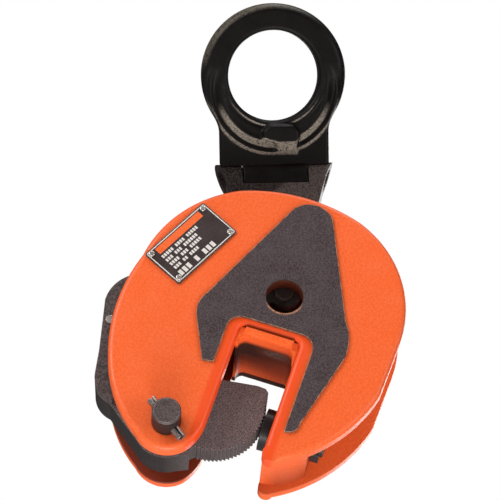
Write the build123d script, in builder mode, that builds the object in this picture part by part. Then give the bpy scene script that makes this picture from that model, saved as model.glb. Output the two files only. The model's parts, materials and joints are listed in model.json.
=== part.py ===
from build123d import *
from math import cos, radians, sin
import os

# Vertical plate lifting clamp. All dimensions are in millimetres.
# Frame: X to the right, Z up along the plate slot, Y from the front side plate to the back one.
# Origin: middle of the flat stop on which the edge of a lifted plate comes to rest.
# Rest pose: jaw closed, yoke leaning left, lifting eye tilted forward.
# Places in the plane of the side plates are written as (X, Z).

# body
GAP = 29.0                       # clear space between the side plates
PLATE_T = 6.5
SLOT_W = 26.0
STOP_T = 4.5                     # thickness of the plate stop at the top of the slot
STOP_CORNER_R = 3.0              # upper corners of the plate stop
STOP_LIP_R = 3.5                 # rounding where the stop turns down into its side lips
BEAD_R = 2.1                     # rounded bead at each end of the plate stop
BEAD_INSET = 2.6                 # from the side of the slot to the end of a bead
DOUBLER_T = 1.0
HOLE_AT = (0.5, 21.5)
HOLE_R = 7.9
EDGE_R = 2.2                     # rounded outer edge of the side plates
SEAT_DEPTH = 3.0                 # blind seats in the side plates
SEAT_PLAY = 0.2                  # left free at the bottom of a seat
HALF_GAP = GAP / 2
HALF_BODY = HALF_GAP + PLATE_T
SLOT_X = SLOT_W / 2
STOP_END = HALF_BODY - 1.6
FIT = 0.05                       # radial clearance of a running fit

# stay between the side plates, behind the slot
STAY_AT = (39.0, 24.0)
STAY_R = 6.0
STAY_NECK_R = 4.0

# name plate
NAME_AT = (-44.6, 32.9)
NAME_W = 20.0
NAME_L = 35.3
NAME_T = 0.8
NAME_CORNER_R = 0.8
NAME_TURN = -25.7                # degrees from X to its short side
NAME_RIVET_R = 1.3
NAME_RIVET_H = 0.7
NAME_RIVET_SPAN = (NAME_W - 4.0, NAME_L - 4.4)

# cam pin and the spring pin through its front end
CAM_AT = (-28.0, -48.0)
CAM_PIN_R = 6.0
CAM_PIN_HEAD_R = 9.0
CAM_PIN_HEAD_T = 3.0
CAM_PIN_END_Y = -HALF_BODY - 11.0
SPRING_PIN_R = 2.0
SPRING_PIN_WALL = 0.8
SPRING_PIN_SLIT = 0.7
SPRING_PIN_L = 21.0
SPRING_PIN_Y = -HALF_BODY - 1.0 - SPRING_PIN_R
SPRING_PIN_TURN = -35.0          # degrees from X
BUSH_R = 7.5

# toothed cam
CAM_HALF_T = 8.0
CAM_SIDE_PLAY = 0.3
TOOTH_AT = (-14.0, -28.0)        # centre of the round toothed face
TOOTH_R = 22.0
TOOTH_DEPTH = 0.9
TOOTH_BACK_Y = 3.5               # back of the toothed part, which is thinner than the hub
TEETH = 26
TEETH_FROM = -92.0               # degrees from X about TOOTH_AT
TEETH_TO = 22.0

# spring between the lever pivot and the tail of the cam
TAIL_PIN_AT = (-57.5, -28.5)
TAIL_PIN_R = 2.0
SPRING_R = 3.5
SPRING_WIRE = 1.2
SPRING_HOOK = 8.0                # from the lever pivot to the first coil
SPRING_ROOM = 4.3                # half width of the slot in the tail

# links between the cam and the yoke
LINK_CAM_AT = (-30.6, -33.2)
LINK_YOKE_AT = (-1.4, 28.5)
LINK_T = 4.0
LINK_Y = CAM_HALF_T + 0.4        # inner face of each link
LINK_PIN_R = 4.5
LINK_PIN_END = LINK_Y + LINK_T + 0.8
LINK_HALF_W = 5.5
LINK_EYE_R = 7.2
LINK_BOW = 14.0                  # how far the middle of a link bows to the upper left

# yoke
YOKE_LEAN = 20.7                 # degrees to the left of the slot axis
YOKE_HALF_T = 8.0
YOKE_FOOT_R = 9.0
HINGE_UP = 60.9                  # eye hinge above the link pin, along the yoke
HINGE_R = 5.0
KNUCKLE_R = 9.0
KNUCKLE_HALF = 14.0
EAR_R = 8.0
EAR_IN = KNUCKLE_HALF + 0.5
EAR_OUT = 21.2                   # half length of the hinge pin, sunk in the ears

# lifting eye
EYE_TILT = 35.0                  # degrees forward of the yoke
EYE_ARM = 46.8                   # hinge to the middle of the ring
RING_R = 31.7
BORE_R = 19.9
RING_HALF_T = 7.0
RIB_R = 24.4
RIB_MID = -5.5                   # centre of the collar steps, below the middle of the ring
COLLAR_R = 28.2
COLLAR_HALF_T = 6.2
TONGUE_HALF_W = 24.2
TONGUE_END = -39.5                # lower corners of the tongue, above the ears of the yoke
TONGUE_HALF_T = 5.0
LUG_AT = (2.6, -27.5)
LUG_SIZE = (16.4, 14.6)
LUG_H = 2.6                      # how far the lug stands out of the rib

# fixed jaw and its swivelling pad
JAW_Z = -29.5
JAW_BACK_X = 30.0
PAD_FACE_X = 8.3
PAD_R = 9.0
PAD_T = SLOT_X - 0.3 - PAD_FACE_X
GROOVE_RADII = (2.5, 4.5, 6.5)
GROOVE_HALF_W = 0.5
GROOVE_DEPTH = 0.7
STEM_R = 4.0
STEM_PAST_JAW = 5.2
NUT_R = 6.9
NUT_T = 3.6
NUT_PLAY = 0.4

# lock lever
LEVER_AT = (-50.0, 12.0)
LEVER_PIN_R = 4.0
LEVER_COLLAR_R = 6.5
LEVER_T = 4.0
LEVER_Y = CAM_HALF_T + 0.4
LEVER_RIVET_AT = (-66.4, -8.0)
LEVER_RIVET_R = 1.8

os.makedirs("parts", exist_ok=True)


def finish(builder, name):
    """Label a finished piece and write it."""
    builder.part.label = name
    export_step(builder.part, f"parts/{name}.step")


def upright(y):
    """Sketch plane parallel to XZ at the given Y; a positive extrusion runs towards -Y."""
    return Plane.XZ.offset(-y)


def side_plate(name, outer_y, inner_y):
    """One pressed side plate, its outer edge rounded all the way round."""
    front = outer_y < 0
    with BuildPart() as plate:
        with BuildSketch(upright(max(outer_y, inner_y))):
            with BuildLine():
                Line((SLOT_X, -46.5), (SLOT_X, STOP_T - STOP_CORNER_R))
                RadiusArc((SLOT_X, STOP_T - STOP_CORNER_R), (SLOT_X - STOP_CORNER_R, STOP_T), -STOP_CORNER_R)
                Line((SLOT_X - STOP_CORNER_R, STOP_T), (STOP_CORNER_R - SLOT_X, STOP_T))
                RadiusArc((STOP_CORNER_R - SLOT_X, STOP_T), (-SLOT_X, STOP_T - STOP_CORNER_R), -STOP_CORNER_R)
                Line((-SLOT_X, STOP_T - STOP_CORNER_R), (-SLOT_X, -42.5))
                ThreePointArc((-SLOT_X, -42.5), (-14.4, -49.8), (-17.4, -55.2))
                ThreePointArc((-17.4, -55.2), (-27.5, -60.2), (-38.6, -55.9))
                ThreePointArc((-38.6, -55.9), (-52.1, -43.1), (-60.6, -26.9))
                ThreePointArc((-60.6, -26.9), (-65.4, -1.0), (-62.3, 22.1))
                ThreePointArc((-62.3, 22.1), (-52.3, 48.8), (-33.2, 65.2))
                ThreePointArc((-33.2, 65.2), (-6.5, 71.0), (20.1, 67.1))
                ThreePointArc((20.1, 67.1), (42.6, 49.5), (52.2, 18.0))
                Line((52.2, 18.0), (51.0, -8.0))
                ThreePointArc((51.0, -8.0), (39.3, -32.3), (18.5, -50.2))
                ThreePointArc((18.5, -50.2), (14.6, -50.6), (SLOT_X, -46.5))
            make_face()
            with Locations(HOLE_AT):
                Circle(HOLE_R, mode=Mode.SUBTRACT)
            with Locations(CAM_AT):
                Circle(CAM_PIN_R, mode=Mode.SUBTRACT)
        extrude(amount=PLATE_T)
        rim = plate.edges().filter_by(lambda e: abs(e.center().Y - outer_y) < 0.01)
        outside = rim.filter_by(lambda e: e.geom_type != GeomType.CIRCLE or e.radius > 13)
        outside = outside.filter_by(lambda e: abs(e.center().X) > SLOT_X + 0.2)
        fillet(outside, EDGE_R)
        # blind seats for the lever pivot and for the stay between the plates
        seat_plane = upright(inner_y)
        with BuildSketch(seat_plane):
            with Locations(LEVER_AT):
                Circle(LEVER_PIN_R)
        extrude(amount=SEAT_DEPTH if front else -SEAT_DEPTH, mode=Mode.SUBTRACT)
        with BuildSketch(seat_plane):
            with Locations(STAY_AT):
                Circle(STAY_NECK_R)
        extrude(amount=SEAT_DEPTH if front else -SEAT_DEPTH, mode=Mode.SUBTRACT)
    finish(plate, name)


side_plate("front_side_plate", -HALF_BODY, -HALF_GAP)
side_plate("back_side_plate", HALF_BODY, HALF_GAP)

# plate stop: the web welded across the top of the slot, with a rounded bead at each end
with BuildPart() as plate_stop:
    with BuildSketch(upright(STOP_END)):
        with BuildLine():
            Line((SLOT_X - STOP_CORNER_R, STOP_T), (STOP_CORNER_R - SLOT_X, STOP_T))
            RadiusArc((STOP_CORNER_R - SLOT_X, STOP_T), (-SLOT_X, STOP_T - STOP_CORNER_R), -STOP_CORNER_R)
            # the left lip stops short, clear of the top of the cam as it swings
            Line((-SLOT_X, STOP_T - STOP_CORNER_R), (-SLOT_X, -STOP_LIP_R))
            Line((-SLOT_X, -STOP_LIP_R), (1.2 - SLOT_X, -STOP_LIP_R))
            RadiusArc((1.2 - SLOT_X, -STOP_LIP_R), (1.2 + STOP_LIP_R - SLOT_X, 0), STOP_LIP_R)
            Line((4.7 - SLOT_X, 0), (SLOT_X - 4.7, 0))
            RadiusArc((SLOT_X - 4.7, 0), (SLOT_X - 1.2, -STOP_LIP_R), STOP_LIP_R)
            Line((SLOT_X - 1.2, -STOP_LIP_R), (SLOT_X - 0.5, -7))
            Line((SLOT_X - 0.5, -7), (SLOT_X, -7))
            Line((SLOT_X, -7), (SLOT_X, STOP_T - STOP_CORNER_R))
            RadiusArc((SLOT_X, STOP_T - STOP_CORNER_R), (SLOT_X - STOP_CORNER_R, STOP_T), -STOP_CORNER_R)
        make_face()
    extrude(amount=2 * STOP_END)
    with BuildSketch(Plane.YZ.offset(BEAD_INSET - SLOT_X)):
        with Locations((-STOP_END, BEAD_R), (STOP_END, BEAD_R)):
            Circle(BEAD_R)
    extrude(amount=SLOT_W - 2 * BEAD_INSET)
finish(plate_stop, "plate_stop")

# fixed jaw block: the web between the toes, which carries the swivelling pad
with BuildPart() as jaw_block:
    with BuildSketch(upright(HALF_GAP)):
        with BuildLine():
            Polyline((SLOT_X, -47), (SLOT_X, -7.2), (20, -7.2), (JAW_BACK_X, -16), (JAW_BACK_X, -38.6))
            ThreePointArc((JAW_BACK_X, -38.6), (22.5, -44.6), (SLOT_X, -47))
        make_face()
    extrude(amount=GAP)
    with BuildSketch(Plane.YZ.offset(SLOT_X)):
        with Locations((0, JAW_Z)):
            Circle(STEM_R + FIT)
    extrude(amount=JAW_BACK_X - SLOT_X, mode=Mode.SUBTRACT)
finish(jaw_block, "fixed_jaw_block")

# stay: shouldered spacer that ties the two side plates together behind the slot
with BuildPart() as stay:
    with BuildSketch(upright(HALF_GAP)):
        with Locations(STAY_AT):
            Circle(STAY_R)
    extrude(amount=GAP)
    with BuildSketch(upright(HALF_GAP + SEAT_DEPTH - SEAT_PLAY)):
        with Locations(STAY_AT):
            Circle(STAY_NECK_R)
    extrude(amount=GAP + 2 * (SEAT_DEPTH - SEAT_PLAY))
finish(stay, "body_stay")


def doubler(name, near_y):
    """Thin fork-shaped reinforcement over the throat, one on the outer face of each side plate."""
    with BuildPart() as plate:
        with BuildSketch(upright(near_y)):
            with BuildLine():
                ThreePointArc((-9.4, 60.6), (-0.5, 67.6), (8.9, 63.4))
                Line((8.9, 63.4), (28.0, 18.8))
                ThreePointArc((28.0, 18.8), (32.6, 5.5), (31.5, -2.0))
                Line((31.5, -2.0), (23.8, -31.5))
                ThreePointArc((23.8, -31.5), (21.5, -36.4), (18.6, -37.0))
                Line((18.6, -37.0), (19.0, 0.6))
                RadiusArc((19.0, 0.6), (12.6, 7.0), -6.4)
                Line((12.6, 7.0), (-12.2, 7.0))
                RadiusArc((-12.2, 7.0), (-18.3, 0.9), -6.1)
                Line((-18.3, 0.9), (-18.3, -16.6))
                Line((-18.3, -16.6), (-22.9, -17.4))
                Line((-22.9, -17.4), (-31.3, 0.6))
                ThreePointArc((-31.3, 0.6), (-32.6, 7.0), (-30.4, 13.2))
                Line((-30.4, 13.2), (-9.4, 60.6))
            make_face()
            with Locations(HOLE_AT):
                Circle(HOLE_R, mode=Mode.SUBTRACT)
        extrude(amount=DOUBLER_T)
    finish(plate, name)


doubler("front_doubler", -HALF_BODY)
doubler("back_doubler", HALF_BODY + DOUBLER_T)

# name plate: blank, riveted on at a slant
name_plane = Plane(
    origin=(NAME_AT[0], -HALF_BODY, NAME_AT[1]),
    x_dir=(cos(radians(NAME_TURN)), 0, sin(radians(NAME_TURN))),
    z_dir=(0, -1, 0),
)

with BuildPart() as name_plate:
    with BuildSketch(name_plane):
        RectangleRounded(NAME_W, NAME_L, NAME_CORNER_R)
    extrude(amount=NAME_T)
finish(name_plate, "name_plate")

with BuildPart() as name_rivets:
    with BuildSketch(name_plane.offset(NAME_T)):
        with GridLocations(*NAME_RIVET_SPAN, 2, 2):
            Circle(NAME_RIVET_R)
    extrude(amount=NAME_RIVET_H)
    crowns = name_rivets.edges().filter_by(lambda e: e.center().Y < -HALF_BODY - NAME_T - NAME_RIVET_H + 0.1)
    fillet(crowns, 0.5)
finish(name_rivets, "name_plate_rivets")

# cam pin: headed at the back, held at the front by a spring pin through its end
spring_pin_dir = Vector(cos(radians(SPRING_PIN_TURN)), 0, sin(radians(SPRING_PIN_TURN)))
spring_pin_mid = Vector(CAM_AT[0], SPRING_PIN_Y, CAM_AT[1])
spring_pin_plane = Plane(origin=spring_pin_mid - spring_pin_dir * (SPRING_PIN_L / 2), z_dir=spring_pin_dir)

with BuildPart() as cam_pin:
    with BuildSketch(upright(HALF_BODY)):
        with Locations(CAM_AT):
            Circle(CAM_PIN_R)
    extrude(amount=HALF_BODY - CAM_PIN_END_Y)
    chamfer(cam_pin.edges().sort_by(Axis.Y)[0], 0.7)
    with BuildSketch(upright(HALF_BODY + CAM_PIN_HEAD_T)):
        with Locations(CAM_AT):
            Circle(CAM_PIN_HEAD_R)
    extrude(amount=CAM_PIN_HEAD_T)
    fillet(cam_pin.edges().sort_by(Axis.Y)[-1], 1.0)
    with BuildSketch(spring_pin_plane):
        Circle(SPRING_PIN_R)
    extrude(amount=SPRING_PIN_L, mode=Mode.SUBTRACT)
finish(cam_pin, "cam_pin")

with BuildPart() as spring_pin:
    with BuildSketch(spring_pin_plane):
        Circle(SPRING_PIN_R)
        Circle(SPRING_PIN_R - SPRING_PIN_WALL, mode=Mode.SUBTRACT)
        with Locations((0, SPRING_PIN_R - 0.5)):
            Rectangle(SPRING_PIN_SLIT, 2 * SPRING_PIN_WALL, mode=Mode.SUBTRACT)
    extrude(amount=SPRING_PIN_L)
finish(spring_pin, "cam_pin_spring_pin")


def bush(name, from_y, to_y):
    """Spacer ring on the cam pin, between the cam and a side plate."""
    with BuildPart() as ring:
        with BuildSketch(upright(to_y)):
            with Locations(CAM_AT):
                Circle(BUSH_R)
                Circle(CAM_PIN_R, mode=Mode.SUBTRACT)
        extrude(amount=to_y - from_y)
    finish(ring, name)


bush("cam_bush_front", -HALF_GAP, -CAM_HALF_T - CAM_SIDE_PLAY)
bush("cam_bush_back", CAM_HALF_T + CAM_SIDE_PLAY, HALF_GAP)


def tooth_point(angle, radius):
    """Point on the toothed face, by its angle from X about the middle of that face."""
    return (TOOTH_AT[0] + radius * cos(radians(angle)), TOOTH_AT[1] + radius * sin(radians(angle)))


# toothed cam: round gripping face to the right, hub on the pin, tail to the left
with BuildPart() as cam:
    pitch = (TEETH_TO - TEETH_FROM) / TEETH
    teeth = []
    for tooth in range(TEETH):
        start = TEETH_FROM + tooth * pitch
        teeth.append(tooth_point(start, TOOTH_R - TOOTH_DEPTH))
        teeth.append(tooth_point(start + 0.7 * pitch, TOOTH_R))
    with BuildSketch(upright(TOOTH_BACK_Y)):
        with BuildLine():
            Polyline(*teeth, (6.2, -16.6), (4.6, -15.2), (1.0, -15.0), (-16.0, -17.4))
            Polyline((-16.0, -17.4), (-30.0, -24.0), (-30, -48))
            Line((-30, -48), (-21.5, -56.3))
            Line((-21.5, -56.3), teeth[0])
        make_face()
    extrude(amount=CAM_HALF_T + TOOTH_BACK_Y)
    with BuildSketch(upright(CAM_HALF_T)):
        with BuildLine():
            ThreePointArc((-21.0, -55.9), (-28.4, -58.4), (-38.4, -54.6))
            Line((-38.4, -54.6), (-54.3, -42.7))
            ThreePointArc((-54.3, -42.7), (-61.6, -38.6), (-64.3, -32.0))
            Line((-64.3, -32.0), (-63.4, -26.0))
            ThreePointArc((-63.4, -26.0), (-58.0, -21.6), (-51.0, -24.4))
            Line((-51.0, -24.4), (-38.2, -27.0))
            ThreePointArc((-38.2, -27.0), (-29.8, -23.6), (-23.0, -28.0))
            Line((-23.0, -28.0), (-16.2, -53.6))
            Line((-16.2, -53.6), (-21.0, -55.9))
        make_face()
    extrude(amount=2 * CAM_HALF_T)
    with BuildSketch(upright(CAM_HALF_T)):
        with Locations(CAM_AT):
            Circle(CAM_PIN_R + FIT)
        with Locations(LINK_CAM_AT):
            Circle(LINK_PIN_R + FIT)
        with Locations(TAIL_PIN_AT):
            Circle(TAIL_PIN_R)
    extrude(amount=2 * CAM_HALF_T, mode=Mode.SUBTRACT)
    with BuildSketch(upright(SPRING_ROOM)):
        with Locations(TAIL_PIN_AT):
            Rectangle(24, 11, align=(Align.CENTER, Align.CENTER))
        with Locations((TAIL_PIN_AT[0], TAIL_PIN_AT[1] + 10)):
            Rectangle(24, 10)
    extrude(amount=2 * SPRING_ROOM, mode=Mode.SUBTRACT)
finish(cam, "toothed_cam")

with BuildPart() as tail_pin:
    with BuildSketch(upright(CAM_HALF_T - 0.2)):
        with Locations(TAIL_PIN_AT):
            Circle(TAIL_PIN_R)
    extrude(amount=2 * CAM_HALF_T - 0.4)
finish(tail_pin, "cam_spring_anchor")

# extension spring that closes the cam: hooked on the lever pivot and on the tail of the cam
spring_top = Vector(*LEVER_AT)
spring_foot = Vector(*TAIL_PIN_AT)
spring_dir = (spring_foot - spring_top).normalized()
spring_span = (spring_foot - spring_top).length
coil_top = spring_top + spring_dir * SPRING_HOOK
with BuildPart() as cam_spring:
    with BuildSketch(upright(SPRING_WIRE / 2)):
        with Locations(LEVER_AT):
            Circle(LEVER_PIN_R + 0.2 + SPRING_WIRE)
        with Locations(TAIL_PIN_AT):
            Circle(TAIL_PIN_R + 0.2 + SPRING_WIRE)
        with BuildLine():
            foot = spring_foot - spring_dir * 3
            Line((spring_top.X, spring_top.Y), (foot.X, foot.Y))
            offset(amount=SPRING_WIRE / 2, side=Side.BOTH)
        make_face()
        with Locations(LEVER_AT):
            Circle(LEVER_PIN_R + 0.2, mode=Mode.SUBTRACT)
        with Locations(TAIL_PIN_AT):
            Circle(TAIL_PIN_R + 0.2, mode=Mode.SUBTRACT)
    extrude(amount=SPRING_WIRE)
    coil_plane = Plane(origin=(coil_top.X, 0, coil_top.Y), z_dir=(spring_dir.X, 0, spring_dir.Y))
    with BuildSketch(coil_plane):
        Circle(SPRING_R)
    extrude(amount=spring_span - 14)
finish(cam_spring, "cam_spring")

link_start = Vector(*LINK_CAM_AT)
link_end = Vector(*LINK_YOKE_AT)
link_dir = (link_end - link_start).normalized()
link_side = Vector(-link_dir.Y, link_dir.X)
link_mid = (link_start + link_end) * 0.5 + link_side * LINK_BOW


def link(name, inner_y):
    """Bowed flat link from the cam to the yoke, clear of the plate stop's corner."""
    with BuildPart() as bar:
        with BuildSketch(upright(inner_y)):
            with BuildLine():
                outer = [p + link_side * LINK_HALF_W for p in (link_start, link_mid, link_end)]
                inner = [p - link_side * LINK_HALF_W for p in (link_start, link_mid, link_end)]
                ThreePointArc(*[(p.X, p.Y) for p in outer])
                Line((outer[2].X, outer[2].Y), (inner[2].X, inner[2].Y))
                ThreePointArc(*[(p.X, p.Y) for p in reversed(inner)])
                Line((inner[0].X, inner[0].Y), (outer[0].X, outer[0].Y))
            make_face()
            with Locations(LINK_CAM_AT, LINK_YOKE_AT):
                Circle(LINK_EYE_R)
            with Locations(LINK_CAM_AT, LINK_YOKE_AT):
                Circle(LINK_PIN_R, mode=Mode.SUBTRACT)
        extrude(amount=LINK_T)
    finish(bar, name)


link("front_link", -LINK_Y)
link("back_link", LINK_Y + LINK_T)


def link_pin(name, at):
    """Plain pin pressed into both links, free to turn in the piece between them."""
    with BuildPart() as pin:
        with BuildSketch(upright(LINK_PIN_END)):
            with Locations(at):
                Circle(LINK_PIN_R)
        extrude(amount=2 * LINK_PIN_END)
        chamfer(pin.edges().filter_by(GeomType.CIRCLE), 0.6)
    finish(pin, name)


link_pin("cam_link_pin", LINK_CAM_AT)
link_pin("yoke_link_pin", LINK_YOKE_AT)

# yoke frame: across the yoke, along it, and its hinge for the lifting eye
across = Vector(cos(radians(YOKE_LEAN)), 0, sin(radians(YOKE_LEAN)))
along = Vector(-sin(radians(YOKE_LEAN)), 0, cos(radians(YOKE_LEAN)))
yoke_foot = Vector(LINK_YOKE_AT[0], 0, LINK_YOKE_AT[1])
hinge_mid = yoke_foot + along * HINGE_UP


def yoke_plane(y):
    """Plane of the yoke at the given Y, its origin on the link pin."""
    return Plane(origin=yoke_foot + Vector(0, y, 0), x_dir=across, z_dir=(0, -1, 0))


def across_plane(u):
    """Plane square to the hinge, u to the right of the yoke's middle."""
    return Plane(origin=hinge_mid + across * u, x_dir=(0, 1, 0), z_dir=across)


with BuildPart() as yoke:
    with BuildSketch(yoke_plane(YOKE_HALF_T)):
        with BuildLine():
            half = [(8.6, 2.0), (12.5, 30.0), (18.4, 47.0), (22.4, 60.0), (26.1, HINGE_UP + EAR_R)]
            Polyline(*half, *[(-u, w) for u, w in reversed(half)], close=True)
        make_face()
        Circle(YOKE_FOOT_R)
    extrude(amount=2 * YOKE_HALF_T)
    # round the top of the ears about the hinge
    with BuildSketch(across_plane(-30)):
        Rectangle(2 * EAR_R + 2, EAR_R + 2, align=(Align.CENTER, Align.MIN))
        Circle(EAR_R, mode=Mode.SUBTRACT)
    extrude(amount=60, mode=Mode.SUBTRACT)
    # room for the knuckle of the eye, and the bores
    with BuildSketch(across_plane(-EAR_IN)):
        Circle(KNUCKLE_R + 0.5)
        with Locations((0, 10)):
            Rectangle(2 * KNUCKLE_R + 1, 20)
    extrude(amount=2 * EAR_IN, mode=Mode.SUBTRACT)
    with BuildSketch(across_plane(-EAR_OUT - 5)):
        Circle(HINGE_R)
    extrude(amount=2 * EAR_OUT + 10, mode=Mode.SUBTRACT)
    with BuildSketch(yoke_plane(YOKE_HALF_T)):
        Circle(LINK_PIN_R + FIT)
    extrude(amount=2 * YOKE_HALF_T, mode=Mode.SUBTRACT)
finish(yoke, "yoke")

with BuildPart() as hinge_pin:
    with BuildSketch(across_plane(-EAR_OUT)):
        Circle(HINGE_R)
    extrude(amount=2 * EAR_OUT)
    chamfer(hinge_pin.edges().filter_by(GeomType.CIRCLE), 0.8)
finish(hinge_pin, "eye_hinge_pin")

# lifting eye: ring, stepped collar and broad tongue, forged in one piece with its knuckle
ahead = along * cos(radians(EYE_TILT)) - Vector(0, 1, 0) * sin(radians(EYE_TILT))
eye_out = -Vector(0, 1, 0) * cos(radians(EYE_TILT)) - along * sin(radians(EYE_TILT))
ring_mid = hinge_mid + ahead * EYE_ARM


def eye_plane(height):
    """Plane of the lifting eye, the given height in front of its middle."""
    return Plane(origin=ring_mid + eye_out * height, x_dir=across, z_dir=eye_out)


with BuildPart() as eye:
    with BuildSketch(eye_plane(-TONGUE_HALF_T)):
        with BuildLine():
            Line((-27.0, -16.5), (27.0, -16.5))
            ThreePointArc((27.0, -16.5), (24.9, -19.8), (TONGUE_HALF_W, -23.8))
            Line((TONGUE_HALF_W, -23.8), (TONGUE_HALF_W, TONGUE_END))
            ThreePointArc((TONGUE_HALF_W, TONGUE_END), (0, -EYE_ARM), (-TONGUE_HALF_W, TONGUE_END))
            Line((-TONGUE_HALF_W, TONGUE_END), (-TONGUE_HALF_W, -23.8))
            ThreePointArc((-TONGUE_HALF_W, -23.8), (-24.9, -19.8), (-27.0, -16.5))
        make_face()
        Circle(RING_R - 0.01)
        with Locations((0, -EYE_ARM / 2 - 12)):
            Rectangle(2 * KNUCKLE_HALF, EYE_ARM - 22)
    extrude(amount=2 * TONGUE_HALF_T)
    with BuildSketch(eye_plane(-COLLAR_HALF_T)):
        Circle(RING_R)
        with Locations((0, -22)):
            Rectangle(2 * RING_R, 32, mode=Mode.SUBTRACT)
        with Locations((0, RIB_MID)):
            Circle(COLLAR_R)
    extrude(amount=2 * COLLAR_HALF_T)
    with BuildSketch(eye_plane(-RING_HALF_T)):
        Circle(RING_R)
        with Locations((0, -22)):
            Rectangle(2 * RING_R, 32, mode=Mode.SUBTRACT)
        with Locations((0, RIB_MID)):
            Circle(RIB_R)
    extrude(amount=2 * RING_HALF_T)
    with BuildSketch(eye_plane(-RING_HALF_T - LUG_H)):
        with Locations(LUG_AT):
            RectangleRounded(*LUG_SIZE, 3)
    extrude(amount=2 * (RING_HALF_T + LUG_H))
    with BuildSketch(across_plane(-KNUCKLE_HALF)):
        Circle(KNUCKLE_R)
    extrude(amount=2 * KNUCKLE_HALF)
    # clear the ears of the yoke
    for end in (-1, 1):
        with BuildSketch(across_plane(end * KNUCKLE_HALF)):
            Circle(EAR_R + 0.4)
        extrude(amount=end * 20, mode=Mode.SUBTRACT)
    with BuildSketch(across_plane(-KNUCKLE_HALF)):
        Circle(HINGE_R + FIT)
    extrude(amount=2 * KNUCKLE_HALF, mode=Mode.SUBTRACT)
    with BuildSketch(eye_plane(-RING_HALF_T - 3)):
        Circle(BORE_R)
    extrude(amount=2 * RING_HALF_T + 6, mode=Mode.SUBTRACT)
finish(eye, "lifting_eye")

# swivelling jaw pad with its stem, and the nut on the far side of the jaw block
with BuildPart() as jaw_pad:
    with BuildSketch(Plane.YZ.offset(PAD_FACE_X)):
        with Locations((0, JAW_Z)):
            Circle(PAD_R)
    extrude(amount=PAD_T)
    fillet(jaw_pad.edges().sort_by(Axis.X)[-1], 1.0)
    for groove_r in GROOVE_RADII:
        with BuildSketch(Plane.YZ.offset(PAD_FACE_X)):
            with Locations((0, JAW_Z)):
                Circle(groove_r + GROOVE_HALF_W)
                Circle(groove_r - GROOVE_HALF_W, mode=Mode.SUBTRACT)
        extrude(amount=GROOVE_DEPTH, mode=Mode.SUBTRACT)
    with BuildSketch(Plane.YZ.offset(PAD_FACE_X + PAD_T)):
        with Locations((0, JAW_Z)):
            Circle(STEM_R)
    extrude(amount=JAW_BACK_X - PAD_FACE_X - PAD_T + STEM_PAST_JAW)
finish(jaw_pad, "swivel_jaw_pad")

with BuildPart() as jaw_nut:
    with BuildSketch(Plane.YZ.offset(JAW_BACK_X + NUT_PLAY)):
        with Locations((0, JAW_Z)):
            RegularPolygon(NUT_R, 6)
            Circle(STEM_R, mode=Mode.SUBTRACT)
    extrude(amount=NUT_T)
finish(jaw_nut, "jaw_pad_nut")

# lock lever, its pivot and the small pin near its outer edge
with BuildPart() as lever:
    with BuildSketch(upright(-LEVER_Y)):
        with BuildLine():
            Line((-50.0, 20.0), (-60.0, 17.4))
            ThreePointArc((-60.0, 17.4), (-69.2, 10.2), (-71.6, 0.2))
            Line((-71.6, 0.2), (-66.1, -22.6))
            Line((-66.1, -22.6), (-64.2, -33.0))
            ThreePointArc((-64.2, -33.0), (-60.9, -39.3), (-53.6, -42.6))
            Line((-53.6, -42.6), (-51.6, -36.0))
            Line((-51.6, -36.0), (-57.0, -12.0))
            ThreePointArc((-57.0, -12.0), (-56.3, -0.6), (-47.0, 4.6))
            ThreePointArc((-47.0, 4.6), (-41.9, 12.6), (-50.0, 20.0))
        make_face()
        with Locations(LEVER_AT):
            Circle(LEVER_PIN_R + FIT, mode=Mode.SUBTRACT)
        with Locations(LEVER_RIVET_AT):
            Circle(LEVER_RIVET_R, mode=Mode.SUBTRACT)
    extrude(amount=LEVER_T)
finish(lever, "lock_lever")

with BuildPart() as lever_rivet:
    with BuildSketch(upright(-LEVER_Y + 1.5)):
        with Locations(LEVER_RIVET_AT):
            Circle(LEVER_RIVET_R)
    extrude(amount=LEVER_T + 2.1)
finish(lever_rivet, "lever_rivet")

with BuildPart() as lever_pivot:
    with BuildSketch(upright(HALF_GAP + SEAT_DEPTH - SEAT_PLAY)):
        with Locations(LEVER_AT):
            Circle(LEVER_PIN_R)
    extrude(amount=GAP + 2 * (SEAT_DEPTH - SEAT_PLAY))
    with BuildSketch(upright(HALF_GAP)):
        with Locations(LEVER_AT):
            Circle(LEVER_COLLAR_R)
    extrude(amount=HALF_GAP - SPRING_ROOM)
    with BuildSketch(upright(-SPRING_ROOM)):
        with Locations(LEVER_AT):
            Circle(LEVER_COLLAR_R)
    extrude(amount=LEVER_Y - 0.3 - SPRING_ROOM)
finish(lever_pivot, "lever_pivot_pin")
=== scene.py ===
import json
from math import cos, pi, radians, sin, sqrt, tau

import bmesh
import bpy
from mathutils import Matrix, Vector


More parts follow.
